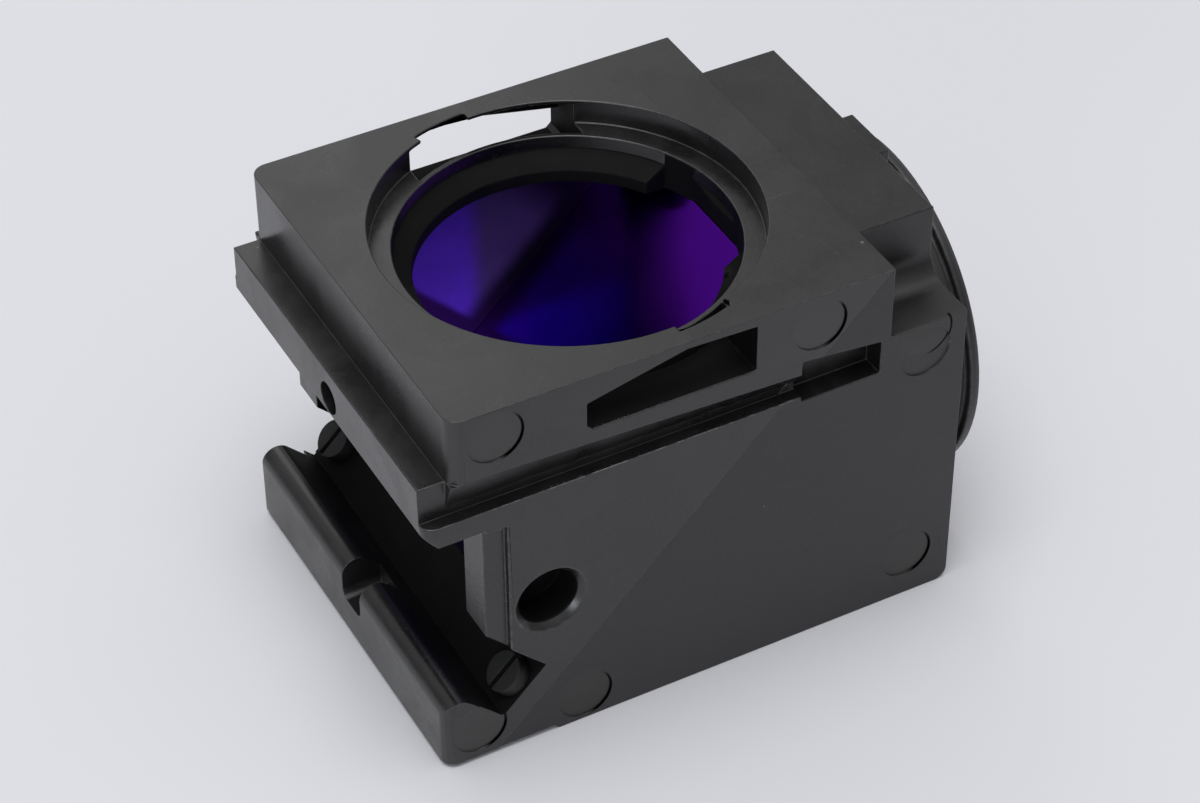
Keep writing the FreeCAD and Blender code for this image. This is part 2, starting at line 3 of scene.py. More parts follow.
import logging
import math
from collections.abc import Callable, Iterable, Sequence
from dataclasses import dataclass
from enum import Enum
from functools import cache, reduce

import bmesh
import bpy
from mathutils import Matrix, Vector


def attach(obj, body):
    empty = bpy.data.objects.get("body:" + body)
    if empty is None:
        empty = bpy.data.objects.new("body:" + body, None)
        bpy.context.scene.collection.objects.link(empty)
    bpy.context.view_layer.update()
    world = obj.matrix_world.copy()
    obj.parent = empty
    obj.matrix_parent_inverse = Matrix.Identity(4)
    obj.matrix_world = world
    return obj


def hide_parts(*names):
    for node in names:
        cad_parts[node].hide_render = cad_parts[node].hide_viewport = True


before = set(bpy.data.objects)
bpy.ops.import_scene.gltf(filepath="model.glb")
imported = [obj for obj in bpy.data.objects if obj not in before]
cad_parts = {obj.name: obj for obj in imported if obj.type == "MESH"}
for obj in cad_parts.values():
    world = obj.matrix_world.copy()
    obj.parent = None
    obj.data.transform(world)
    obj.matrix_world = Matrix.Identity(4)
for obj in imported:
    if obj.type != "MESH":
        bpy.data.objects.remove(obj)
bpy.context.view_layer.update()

LOG = logging.getLogger("filter_cube")
MM = 0.001
BODY = "root"
# Face attribute of how rubbed a rounding is; it also carries the painted edge highlights.
WEAR_AND_HIGHLIGHT = "wear_and_highlight"
SEAM_HEIGHT = 14.3 * MM
HALF_DEPTH = 15.5 * MM
PLATE_TOP = 30.8 * MM
EJECTOR_RADIUS = 2.05 * MM
HALF_ROOT = math.sqrt(0.5)
Colour = tuple[float, float, float]
Place = tuple[float, float, float]


class Slot(Enum):
    """Material slots of the record."""

    SHELL = "shell_black"
    SPLITTER = "splitter_glass"
    SPRING = "spring_steel"
    SCREW = "screw_black"
    RING = "ring_black"
    FILTER = "filter_glass"


class Tree:
    """Adds and joins the nodes of one node tree."""

    def __init__(self, tree: bpy.types.NodeTree) -> None:
        """Keeps the shader or geometry tree to fill."""
        self.tree = tree

    @classmethod
    def group(cls, name: str, inputs: dict[str, float | None],
              outputs: Sequence[str]) -> tuple["Tree", list[bpy.types.NodeSocket]]:
        """Starts a shader group with its sockets.

        Args:
            name: name of the group.
            inputs: default value of each number by name, or None for a vector.
            outputs: names of the numbers that it gives.

        Returns:
            The group's helper and the sockets of its inputs.
        """
        tree = cls(bpy.data.node_groups.new(name, "ShaderNodeTree"))
        for label, value in inputs.items():
            socket = tree.declare(label, "NodeSocketVector" if value is None else "NodeSocketFloat")
            if value is not None:
                socket.default_value = value
        for label in outputs:
            tree.declare(label, "NodeSocketFloat", "OUTPUT")
        return tree, tree.add("NodeGroupInput").outputs[:len(inputs)]

    def declare(self, label: str, kind: str, side: str = "INPUT") -> bpy.types.NodeTreeInterfaceSocket:
        """Declares an input or output of a group."""
        return self.tree.interface.new_socket(name=label, in_out=side, socket_type=kind)

    def end(self, values: dict[str, bpy.types.NodeSocket]) -> bpy.types.NodeTree:
        """Gives the group's outputs their values and returns the group."""
        self.add("NodeGroupOutput", values)
        return self.tree

    def add(self, kind: str, values: dict[str | int, object] | None = None,
            **settings: object) -> bpy.types.Node:
        """Adds a node.

        Args:
            kind: identifier of the node type.
            values: what the node's inputs get, as in fill.
            settings: attributes of the node.

        Returns:
            The new node.
        """
        node = self.tree.nodes.new(kind)
        for name, value in settings.items():
            setattr(node, name, value)
        self.fill(node, values or {})
        return node

    def fill(self, node: bpy.types.Node, values: dict[str | int, object]) -> None:
        """Links sockets to a node's inputs, or sets their values.

        Args:
            node: the node.
            values: an output socket, a number, a colour or a vector for each input, by name or number.
        """
        for key, value in values.items():
            socket = node.inputs[key]
            if isinstance(value, bpy.types.NodeSocket):
                self.tree.links.new(value, socket)
            elif isinstance(value, tuple) and len(value) == 3 and socket.type == "RGBA":
                socket.default_value = (*value, 1.0)
            else:
                socket.default_value = value

    def effect(self, group: bpy.types.NodeTree, values: dict[str, object]) -> bpy.types.Node:
        """Adds one of the shared effects with its inputs."""
        return self.add("ShaderNodeGroup", values, node_tree=group)

    def place(self) -> bpy.types.NodeSocket:
        """Output of the object coordinates."""
        return self.add("ShaderNodeTexCoord").outputs["Object"]

    def parts(self, vector: bpy.types.NodeSocket) -> list[bpy.types.NodeSocket]:
        """Outputs of a vector's three parts."""
        return self.add("ShaderNodeSeparateXYZ", {0: vector}).outputs[:]

    def math(self, operation: str, first: object, second: object = 0.0,
             clamp: bool = False) -> bpy.types.NodeSocket:
        """Output of a math node, kept between 0 and 1 if clamp is set."""
        node = self.add("ShaderNodeMath", {0: first, 1: second}, operation=operation, use_clamp=clamp)
        return node.outputs[0]

    def times(self, *factors: object) -> bpy.types.NodeSocket:
        """Output of the product of two or more factors."""
        return reduce(lambda first, second: self.math("MULTIPLY", first, second), factors)

    def blend(self, factor: object, first: object, second: object) -> bpy.types.NodeSocket:
        """Output of a colour mix, from the first colour at 0 to the second at 1."""
        return self.add("ShaderNodeMix", {0: factor, 6: first, 7: second}, data_type="RGBA").outputs[2]

    def ramp(self, value: object, low: float, high: float, out_low: float = 0.0,
             out_high: float = 1.0) -> bpy.types.NodeSocket:
        """Output of a clamped smooth map from the range low to high, onto out_low to out_high."""
        node = self.add("ShaderNodeMapRange", {0: value, 1: low, 2: high, 3: out_low, 4: out_high},
                        interpolation_type="SMOOTHSTEP")
        return node.outputs[0]

    def noise(self, place: object, scale: object, detail: float = 2.0, rough: float = 0.5,
              warp: float = 0.0) -> bpy.types.NodeSocket:
        """Output of a noise texture.

        Args:
            place: coordinate socket.
            scale: bumps per metre, or their socket.
            detail: octaves.
            rough: strength of the finer octaves.
            warp: distortion.

        Returns:
            The noise value's socket.
        """
        node = self.add("ShaderNodeTexNoise", {"Vector": place, "Scale": scale, "Detail": detail,
                                               "Roughness": rough, "Distortion": warp})
        return node.outputs[0]

    def bump(self, height: bpy.types.NodeSocket, distance: float,
             **below: bpy.types.NodeSocket) -> bpy.types.NodeSocket:
        """Output of a bump's normal, over the Normal of a broader bump where one is given."""
        return self.add("ShaderNodeBump", {"Height": height, "Distance": distance, **below}).outputs[0]


class ShaderGroups:
    """Effects that several finishes share, each built once as a node group."""

    @staticmethod
    @cache
    def mould_grain() -> bpy.types.NodeTree:
        """Fibre-filled moulding: fine height grain, broad sink and flow marks.

        Returns:
            The group.
        """
        tree, (place, grain_scale, flow_scale) = Tree.group(
            "mould_grain", {"Place": None, "Grain Scale": 9000.0, "Flow Scale": 160.0},
            ["Height", "Sink", "Flow", "Fibre"])
        grain = tree.noise(place, grain_scale, 3.0, 0.65)
        coarse = tree.noise(place, 1500.0)
        fibres = tree.noise(place, 4200.0, 1.0)
        return tree.end({"Height": tree.math("ADD", tree.times(grain, 0.6), tree.times(coarse, 0.4)),
                         "Sink": tree.noise(place, 130.0),
                         "Flow": tree.noise(place, flow_scale, 3.0, 0.55, 1.2),
                         "Fibre": tree.ramp(fibres, 0.56, 0.72)})

    @staticmethod
    @cache
    def edge_wear_and_highlight() -> bpy.types.NodeTree:
        """Broken bright line where an edge has been rubbed: partly real wear, partly a painted highlight on
        the rounding.

        Returns:
            The group.
        """
        tree, (place, wear_and_highlight, breaks) = Tree.group(
            "edge_wear_and_highlight", {"Place": None, "Wear": 0.0, "Break": 900.0}, ["Mask"])
        broken = tree.noise(place, breaks, 4.0, 0.7)
        patches = tree.noise(place, 220.0)
        share = tree.times(tree.ramp(broken, 0.38, 0.66), tree.ramp(patches, 0.3, 0.7, 0.35, 1.0))
        return tree.end({"Mask": tree.math("MULTIPLY", share, wear_and_highlight, clamp=True)})

    @staticmethod
    @cache
    def specks() -> bpy.types.NodeTree:
        """Sparse dust specks.

        Returns:
            The group.
        """
        tree, (place, scale, size) = Tree.group(
            "specks", {"Place": None, "Scale": 420.0, "Size": 0.05}, ["Mask"])
        cells = tree.add("ShaderNodeTexVoronoi", {"Vector": place, "Scale": scale, "Randomness": 1.0})
        chance = tree.add("ShaderNodeSeparateColor", {0: cells.outputs["Color"]})
        limit = tree.times(size, tree.times(chance.outputs[1], 1.6))
        near = tree.math("LESS_THAN", cells.outputs["Distance"], limit)
        chosen = tree.math("GREATER_THAN", chance.outputs[0], 0.72)
        return tree.end({"Mask": tree.times(near, chosen)})

    @staticmethod
    @cache
    def fine_scratches() -> bpy.types.NodeTree:
        """Short hairline scratches in one main direction.

        Returns:
            The group.
        """
        tree, (place, amount) = Tree.group("fine_scratches", {"Place": None, "Amount": 0.5}, ["Mask"])
        stretched = tree.add("ShaderNodeMapping", {"Vector": place, "Rotation": (0.3, 0.2, 0.5),
                                                   "Scale": (0.06, 1.0, 1.0)})
        lines = tree.noise(stretched.outputs[0], 2600.0)
        patches = tree.noise(place, 260.0)
        share = tree.times(tree.ramp(lines, 0.66, 0.74), tree.ramp(patches, 0.52, 0.66))
        return tree.end({"Mask": tree.math("MULTIPLY", share, amount, clamp=True)})

    @staticmethod
    @cache
    def turned_grooves() -> bpy.types.NodeTree:
        """Fine circular tool marks about the excitation axis.

        Returns:
            The group.
        """
        tree, (place, pitch) = Tree.group(
            "turned_grooves", {"Place": None, "Pitch": 0.00008}, ["Height", "Band"])
        x, y, z = tree.parts(place)
        up = tree.math("SUBTRACT", z, SEAM_HEIGHT)
        reach = tree.math("SQRT", tree.math("ADD", tree.times(up, up), tree.times(y, y)))
        along = tree.math("ADD", reach, x)
        turns = tree.times(tree.math("DIVIDE", along, pitch), math.tau)
        bands = tree.add("ShaderNodeTexNoise", {"W": along, "Scale": 2500.0, "Detail": 2.0},
                         noise_dimensions="1D")
        return tree.end({"Height": tree.math("SINE", turns), "Band": bands.outputs[0]})

    @staticmethod
    @cache
    def ejector_mark() -> bpy.types.NodeTree:
        """Round mark of an ejector pin on a side face: a warmer disc, with painted shade of its recessed edge
        as a dark gap round one side.

        Returns:
            The group.
        """
        tree, (place, mark_x, mark_z, radius, side) = Tree.group(
            "ejector_mark", {"Place": None, "X": 0.0, "Z": 0.0, "Radius": 0.002, "Side": 0.0152},
            ["Disc", "Painted Gap Shade"])
        x, y, z = tree.parts(place)
        across = tree.math("SUBTRACT", x, mark_x)
        up = tree.math("SUBTRACT", z, mark_z)
        reach = tree.math("SQRT", tree.math("ADD", tree.times(across, across), tree.times(up, up)))
        share = tree.math("DIVIDE", reach, radius)
        on_side = tree.math("GREATER_THAN", tree.math("ABSOLUTE", y), side)
        lean = tree.math("SUBTRACT", tree.times(across, 0.86), tree.times(up, 0.30))
        lean = tree.ramp(tree.math("DIVIDE", lean, radius), 0.30, 0.66)
        ring = tree.times(tree.ramp(share, 0.94, 0.975), tree.ramp(share, 1.055, 1.02))
        return tree.end({"Disc": tree.times(on_side, tree.ramp(share, 0.98, 0.90)),
                         "Painted Gap Shade": tree.times(ring, lean, on_side)})

    @staticmethod
    @cache
    def painted_nick_shade() -> bpy.types.NodeTree:
        """Painted shade of a small three-cornered bite out of a surface, at one place.

        Returns:
            The group.
        """
        tree, (place, centre, length, width) = Tree.group(
            "painted_nick_shade", {"Place": None, "Centre": None, "Length": 0.0006, "Width": 0.0003}, ["Mask"])
        offset = tree.add("ShaderNodeVectorMath", {0: place, 1: centre}, operation="SUBTRACT")
        across, along, deep = (tree.math("ABSOLUTE", part) for part in tree.parts(offset.outputs[0]))
        total = tree.math("ADD", tree.math("DIVIDE", along, length), tree.math("DIVIDE", across, width))
        total = tree.math("ADD", total, tree.math("DIVIDE", deep, length))
        return tree.end({"Mask": tree.ramp(total, 1.0, 0.85)})


def in_metres(place: Place) -> Place:
    """Turns a place in millimetres into metres."""
    return tuple(part * MM for part in place)


def put(name: str, data: bpy.types.ID) -> bpy.types.Object:
    """Adds an object to the scene.

    Args:
        name: name of the object.
        data: its mesh, light or camera.

    Returns:
        The object.
    """
    thing = bpy.data.objects.new(name, data)
    bpy.context.scene.collection.objects.link(thing)
    return thing


def new_material(name: str) -> tuple[bpy.types.Material, Tree, bpy.types.Node]:
    """Starts a material with one Principled shader.

    Args:
        name: name of the material.

    Returns:
        The material, the helper for its tree, and its shader.
    """
    material = bpy.data.materials.new(name)
    material.use_nodes = True
    material.node_tree.nodes.clear()
    tree = Tree(material.node_tree)
    shader = tree.add("ShaderNodeBsdfPrincipled")
    tree.add("ShaderNodeOutputMaterial", {"Surface": shader.outputs[0]})
    return material, tree, shader


@dataclass(frozen=True)
class MouldedBlack:
    """Black glass-filled moulding with flow marks, rubbed edges that are partly painted highlights,
    hairlines, a little dust, and painted shade in the marks' gaps and the nick.
    """

    name: str = "moulded_black"
    dark: Colour = (0.0045, 0.0045, 0.0048)
    light: Colour = (0.0095, 0.0092, 0.0095)
    rubbed_and_highlight: Colour = (0.20, 0.20, 0.205)
    dust: Colour = (0.22, 0.22, 0.23)
    rough_low: float = 0.25
    rough_high: float = 0.36
    specular: float = 0.70
    grain_scale: float = 9000.0
    grain_height: float = 0.000012
    flow_scale: float = 150.0
    sink_height: float = 0.00006
    break_scale: float = 1100.0
    speck_scale: float = 420.0
    speck_size: float = 0.035
    speck_share: float = 0.45
    hair_amount: float = 0.45
    hair_share: float = 0.12
    fibre_share: float = 0.035
    mark_tint: Colour = (0.0150, 0.0125, 0.0112)
    mark_share: float = 0.7
    # Colour of the painted shade in the ejector marks' gaps and the nick.
    gap_shade_colour: Colour = (0.0015, 0.0015, 0.0015)
    marks: tuple[tuple[float, float], ...] = ()
    nick: Place | None = None

    def material(self) -> bpy.types.Material:
        """Builds the finish.

        Returns:
            The material.
        """
        material, tree, shader = new_material(self.name)
        place = tree.place()
        grain = tree.effect(ShaderGroups.mould_grain(), {"Place": place, "Grain Scale": self.grain_scale,
                                                         "Flow Scale": self.flow_scale}).outputs
        body, black = self.marked_colour(tree, place, self.worn_highlit_colour(tree, place, grain))
        waves = tree.bump(grain["Sink"], self.sink_height)
        # The painted-shade mask also feeds Metallic, which takes the diffuse light out of the gaps and the
        # nick.
        tree.fill(shader, {
            "Metallic": black, "Base Color": body, "Specular IOR Level": self.specular,
            "Roughness": tree.ramp(grain["Flow"], 0.3, 0.7, self.rough_low, self.rough_high),
            "Normal": tree.bump(grain["Height"], self.grain_height, Normal=waves)})
        return material

    def worn_highlit_colour(self, tree: Tree, place: bpy.types.NodeSocket,
                    grain: bpy.types.NodeOutputs) -> bpy.types.NodeSocket:
        """Colour with flow marks, fibres, hairlines, rubbed edges that are partly painted highlights, and
        dust.

        Args:
            tree: the material's tree.
            place: object coordinates.
            grain: outputs of the moulding's grain.

        Returns:
            The colour's socket.
        """
        edge = tree.add("ShaderNodeAttribute", attribute_name=WEAR_AND_HIGHLIGHT).outputs["Fac"]
        wear_and_highlight = tree.effect(ShaderGroups.edge_wear_and_highlight(), {"Place": place, "Wear": edge,
                                                      "Break": self.break_scale})
        specks = tree.effect(ShaderGroups.specks(), {"Place": place, "Scale": self.speck_scale,
                                                     "Size": self.speck_size})
        hairs = tree.effect(ShaderGroups.fine_scratches(), {"Place": place, "Amount": self.hair_amount})
        body = tree.blend(tree.ramp(grain["Flow"], 0.35, 0.65), self.dark, self.light)
        body = tree.blend(tree.times(grain["Fibre"], self.fibre_share), body, self.rubbed_and_highlight)
        body = tree.blend(tree.times(hairs.outputs[0], self.hair_share), body, self.rubbed_and_highlight)
        # Rubbed edges: partly real wear, partly a painted highlight on the roundings.
        body = tree.blend(wear_and_highlight.outputs[0], body, self.rubbed_and_highlight)
        return tree.blend(tree.times(specks.outputs[0], self.speck_share), body, self.dust)

    def marked_colour(self, tree: Tree, place: bpy.types.NodeSocket,
                      body: bpy.types.NodeSocket) -> tuple[bpy.types.NodeSocket, object]:
        """Adds the ejector marks, and the painted shade of their gaps and of the nick, to the colour.

        Args:
            tree: the material's tree.
            place: object coordinates.
            body: colour so far.

        Returns:
            The colour, and the mask of the painted shade in the gaps and the nick, 0 where there is none.
        """
        black: object = 0.0
        for x, z in self.marks:
            mark = tree.effect(ShaderGroups.ejector_mark(), {"Place": place, "X": x * MM, "Z": z * MM,
                                                             "Radius": EJECTOR_RADIUS})
            body = tree.blend(tree.times(mark.outputs["Disc"], self.mark_share), body, self.mark_tint)
            black = tree.math("MAXIMUM", black, mark.outputs["Painted Gap Shade"])
        if self.nick is not None:
            bite_shade = tree.effect(ShaderGroups.painted_nick_shade(), {"Place": place, "Centre": in_metres(self.nick)})
            black = tree.math("MAXIMUM", black, bite_shade.outputs[0])
        if self.marks or self.nick:
            # Painted shade: the gaps and the nick go near black.
            body = tree.blend(black, body, self.gap_shade_colour)
        return body, black


@dataclass(frozen=True)
class PaintedSplitterLightWall:
    """Glossy inner wall whose base colour carries a painted violet and blue patch: the light that the beam
    splitter throws on it.
    """

    dark: Colour = (0.0035, 0.0035, 0.0038)
    thrown_violet: Colour = (0.085, 0.050, 0.20)
    thrown_blue: Colour = (0.130, 0.045, 0.70)
    band: tuple[float, float] = (0.0006, 0.0026)
    lower_end: tuple[float, float] = (-0.0017, -0.0010)
    upper_end: tuple[float, float] = (0.0110, 0.0070)
    blue_end: tuple[float, float] = (-0.0003, -0.0024)
    cloud_scale: float = 320.0
    roughness: float = 0.30

    def material(self) -> bpy.types.Material:
        """Builds the finish.

        Returns:
            The material.
        """
        material, tree, shader = new_material("painted_splitter_light_wall")
        place = tree.place()
        x, _, z = tree.parts(place)
        height = tree.math("SUBTRACT", z, SEAM_HEIGHT)
        from_seam = tree.times(tree.math("SUBTRACT", height, x), HALF_ROOT)
        along = tree.times(tree.math("ADD", height, x), HALF_ROOT)
        cloud = tree.noise(place, self.cloud_scale)
        # Painted light: a violet-to-blue patch beside the seam, where the splitter throws its light on the
        # wall.
        thrown_light_patch = tree.times(tree.ramp(from_seam, *self.band), tree.ramp(along, *self.lower_end),
                           tree.ramp(along, *self.upper_end), tree.ramp(cloud, 0.2, 0.8, 0.75, 1.0))
        body = tree.blend(tree.ramp(x, *self.blue_end), self.thrown_violet, self.thrown_blue)
        tree.fill(shader, {"Base Color": tree.blend(thrown_light_patch, self.dark, body), "Roughness": self.roughness})
        return material


@dataclass(frozen=True)
class CoatedGlass:
    """Interference coating that reflects one colour strongly."""

    name: str
    tint: Colour
    edge_tint: Colour
    roughness: float
    dust: Colour = (0.5, 0.5, 0.55)
    dust_share: float = 0.4
    speck_scale: float = 500.0
    speck_size: float = 0.03
    cloud_scale: float = 90.0

    def material(self) -> bpy.types.Material:
        """Builds the finish.

        Returns:
            The material.
        """
        material, tree, shader = new_material(self.name)
        place = tree.place()
        cloud = tree.noise(place, self.cloud_scale)
        specks = tree.effect(ShaderGroups.specks(), {"Place": place, "Scale": self.speck_scale,
                                                     "Size": self.speck_size})
        body = tree.blend(tree.ramp(cloud, 0.3, 0.7), self.tint, self.edge_tint)
        tree.fill(shader, {
            "Base Color": tree.blend(tree.times(specks.outputs[0], self.dust_share), body, self.dust),
            "Roughness": tree.ramp(cloud, 0.2, 0.8, self.roughness, self.roughness * 2.0),
            "Metallic": 1.0})
        return material


@dataclass(frozen=True)
class TurnedMetal:
    """Turned metal, black anodised or bare, with circular tool marks and rubbed edges that are partly painted
    highlights.
    """

    name: str
    body: Colour
    rubbed_and_highlight: Colour
    roughness: float
    metallic: float
    pitch: float = 0.00009
    groove_height: float = 0.000001
    break_scale: float = 1300.0
    band_share: float = 0.12
    rough_spread: float = 0.12

    def material(self) -> bpy.types.Material:
        """Builds the finish.

        Returns:
            The material.
        """
        material, tree, shader = new_material(self.name)
        place = tree.place()
        marks = tree.effect(ShaderGroups.turned_grooves(), {"Place": place, "Pitch": self.pitch}).outputs
        edge = tree.add("ShaderNodeAttribute", attribute_name=WEAR_AND_HIGHLIGHT).outputs["Fac"]
        wear_and_highlight = tree.effect(ShaderGroups.edge_wear_and_highlight(), {"Place": place, "Wear": edge,
                                                      "Break": self.break_scale})
        bands = tree.times(tree.ramp(marks["Band"], 0.35, 0.7), self.band_share)
        body = tree.blend(bands, self.body, self.rubbed_and_highlight)
        roughest = self.roughness + self.rough_spread
        # Rubbed edges: partly real wear, partly a painted highlight on the roundings.
        tree.fill(shader, {
            "Base Color": tree.blend(wear_and_highlight.outputs[0], body, self.rubbed_and_highlight),
            "Roughness": tree.ramp(marks["Band"], 0.3, 0.7, self.roughness, roughest),
            "Normal": tree.bump(marks["Height"], self.groove_height), "Metallic": self.metallic})
        return material


@dataclass
class EdgeRule:
    """Rounding, and rubbed wear with painted highlight, of the sharp edges that pass a test."""

    test: Callable[[Vector], bool]
    width: float
    wear_and_highlight: float


@dataclass
class Zone:
    """Own finish for the faces that pass a test of their centre, in millimetres, and their normal."""

    test: Callable[[Vector, Vector], bool]
    material: bpy.types.Material


@dataclass
class SoftenedNode:
    """A CAD node rebuilt with rounded edges, rubbed and partly lit by painted highlights."""

    node: str
    name: str
    slot: Slot
    material: bpy.types.Material
    rules: Sequence[EdgeRule]
    base_width: float = 0.10
    base_wear_and_highlight: float = 0.12
    flat_angle: float = 0.5
    sharp_angle: float = 24.0
    smooth_angle: float = 38.0
    segments: int = 3
    local_limit: float = 0.32
    least_width: float = 0.03
    merge_reach: float = 0.002
    zones: Sequence[Zone] = ()

    def merged(self) -> bmesh.types.BMesh:
        """Joins the node's loose triangles and clears the flat ones.

        Returns:
            The joined mesh.
        """
        mesh = bmesh.new()
        mesh.from_mesh(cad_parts[self.node].data)
        bmesh.ops.remove_doubles(mesh, verts=mesh.verts, dist=self.merge_reach * MM)
        bmesh.ops.dissolve_degenerate(mesh, edges=mesh.edges, dist=self.merge_reach * MM)
        bmesh.ops.dissolve_limit(mesh, angle_limit=math.radians(self.flat_angle), verts=mesh.verts,
                                 edges=mesh.edges)
        return mesh

    def weigh(self, mesh: bmesh.types.BMesh) -> float:
        """Gives each sharp edge its rounding, kept within what its neighbours leave room for.

        Args:
            mesh: the joined mesh.

        Returns:
            The widest rounding, in metres.
        """
        weight = mesh.edges.layers.float.new("bevel_weight_edge")
        wanted: dict[bmesh.types.BMEdge, float] = {}
        for edge in mesh.edges:
            if len(edge.link_faces) != 2 or edge.calc_face_angle() < math.radians(self.sharp_angle):
                continue
            middle = (edge.verts[0].co + edge.verts[1].co) / 2
            wanted[edge] = self.rule_at(middle / MM).width * MM
        limits: dict[bmesh.types.BMVert, float] = {}
        for vert in {v for edge in wanted for v in edge.verts}:
            limits[vert] = self.local_limit * min(edge.calc_length() for edge in vert.link_edges)
        widest = max(wanted.values(), default=0.0)
        for edge, width in wanted.items():
            room = min(limits[vert] for vert in edge.verts)
            edge[weight] = min(width, max(room, self.least_width * MM)) / widest
        return widest

    def rule_at(self, place: Vector) -> EdgeRule:
        """First rule that holds at a place in millimetres, or else the node's base rule."""
        base = EdgeRule(lambda _: True, self.base_width, self.base_wear_and_highlight)
        return next((rule for rule in self.rules if rule.test(place)), base)

    def mark_wear_and_highlight(self, data: bpy.types.Mesh) -> None:
        """Writes how rubbed each face is, which also sets its painted highlight, from the rounding that it
        belongs to.

        Args:
            data: mesh whose rounding faces have material index 1.
        """
        layer = data.attributes.new(WEAR_AND_HIGHLIGHT, "FLOAT", "FACE")
        values = []
        for polygon in data.polygons:
            value = 0.0
            if polygon.material_index == 1:
                value = self.rule_at(polygon.center / MM).wear_and_highlight
                polygon.material_index = 0
            values.append(value)
        layer.data.foreach_set("value", values)

    def build(self) -> bpy.types.Object:
        """Builds the piece in the node's place.

        Returns:
            The piece.
        """
        mesh = self.merged()
        widest = self.weigh(mesh)
        data = bpy.data.meshes.new(self.name)
        mesh.to_mesh(data)
        mesh.free()
        piece = put(self.name, data)
        for _ in range(2):
            data.materials.append(self.material)
        bevel = piece.modifiers.new("soften", "BEVEL")
        bevel.width = widest
        bevel.segments = self.segments
        bevel.limit_method = "WEIGHT"
        bevel.use_clamp_overlap = False
        bevel.material = 1
        bevel.miter_outer = "MITER_ARC"
        result = bake(piece)
        self.mark_wear_and_highlight(result.data)
        result.data.materials.pop(index=1)
        self.dress_zones(result.data)
        smooth(result.data, self.smooth_angle)
        flatten_normals(result)
        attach(result, BODY)
        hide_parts(self.node)
        return result

    def dress_zones(self, data: bpy.types.Mesh) -> None:
        """Gives the faces of each zone its finish.

        Args:
            data: mesh of the piece.
        """
        slots: dict[str, int] = {}
        for polygon in data.polygons:
            centre = polygon.center / MM
            zone = next((zone for zone in self.zones if zone.test(centre, polygon.normal)), None)
            if zone is None:
                continue
            if zone.material.name not in slots:
                slots[zone.material.name] = len(data.materials)
                data.materials.append(zone.material)
            polygon.material_index = slots[zone.material.name]


def bake(piece: bpy.types.Object) -> bpy.types.Object:
    """Turns a piece with live modifiers into a plain mesh of the same name.

    Args:
        piece: object with modifiers.

    Returns:
        The same object, now with a plain mesh.
    """
    bpy.context.view_layer.update()
    graph = bpy.context.evaluated_depsgraph_get()
    data = bpy.data.meshes.new_from_object(piece.evaluated_get(graph))
    piece.modifiers.clear()
    piece.data = data
    data.name = piece.name
    return piece


def smooth(data: bpy.types.Mesh, angle: float) -> None:
    """Shades a mesh smooth except over sharper edges.

    Args:
        data: mesh to shade.
        angle: angle in degrees past which an edge stays sharp.
    """
    data.polygons.foreach_set("use_smooth", [True] * len(data.polygons))
    data.set_sharp_from_angle(angle=math.radians(angle))


def flatten_normals(piece: bpy.types.Object) -> None:
    """Keeps large faces flat in the shading, as the roundings beside them turn.

    Args:
        piece: object to shade.
    """
    modifier = piece.modifiers.new("flat", "WEIGHTED_NORMAL")
    modifier.weight = 100
    modifier.keep_sharp = True
    bake(piece)


class PatternPiece:
    """Piece whose repeats come from a Geometry Nodes tree, baked to a plain mesh."""

    kinds = {tuple: "NodeSocketVector", int: "NodeSocketInt", float: "NodeSocketFloat",
             bpy.types.Material: "NodeSocketMaterial"}
    smooth_angle = 40.0

    def __init__(self, name: str, slot: Slot, inputs: dict[str, object]) -> None:
        """Starts the tree with its named inputs.

        Args:
            name: name of the piece and its tree.
            slot: material slot of the record; kept, but not used.
            inputs: value of each input by name.
        """
        self.name = name
        self.slot = slot
        self.group = bpy.data.node_groups.new(name, "GeometryNodeTree")
        self.tree = Tree(self.group)
        self.tree.declare("Geometry", "NodeSocketGeometry", "OUTPUT")
        self.values = {self.tree.declare(label, self.kinds[type(value)]).identifier: value
                       for label, value in inputs.items()}
        self.given = self.tree.add("NodeGroupInput").outputs

    def line(self) -> bpy.types.NodeSocket:
        """Output of a line of Count points from First to Last."""
        ends = {"Count": self.given["Count"], "Start Location": self.given["First"],
                "Offset": self.given["Last"]}
        return self.tree.add("GeometryNodeMeshLine", ends, mode="END_POINTS").outputs[0]

    def random(self, low: Place, high: Place, seed: object) -> bpy.types.NodeSocket:
        """Output of a random vector between two others for each point."""
        return self.tree.add("FunctionNodeRandomValue", {0: low, 1: high, "Seed": seed},
                             data_type="FLOAT_VECTOR").outputs[0]

    def finish(self, repeats: dict[str, object]) -> bpy.types.Object:
        """Puts a shape on each point, gives it the material and bakes the piece.

        Args:
            repeats: the points, the shape, and the turn and size of each one where they differ.

        Returns:
            The piece.
        """
        instances = self.tree.add("GeometryNodeInstanceOnPoints", repeats)
        real = self.tree.add("GeometryNodeRealizeInstances", {0: instances.outputs[0]})
        dressed = self.tree.add("GeometryNodeSetMaterial", {"Geometry": real.outputs[0],
                                                            "Material": self.given["Material"]})
        self.tree.add("NodeGroupOutput", {0: dressed.outputs[0]})
        piece = put(self.name, bpy.data.meshes.new(self.name))
        modifier = piece.modifiers.new("pattern", "NODES")
        modifier.node_group = self.group
        for identifier, value in self.values.items():
            modifier[identifier] = value
        bake(piece)
        smooth(piece.data, self.smooth_angle)
        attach(piece, BODY)
        return piece


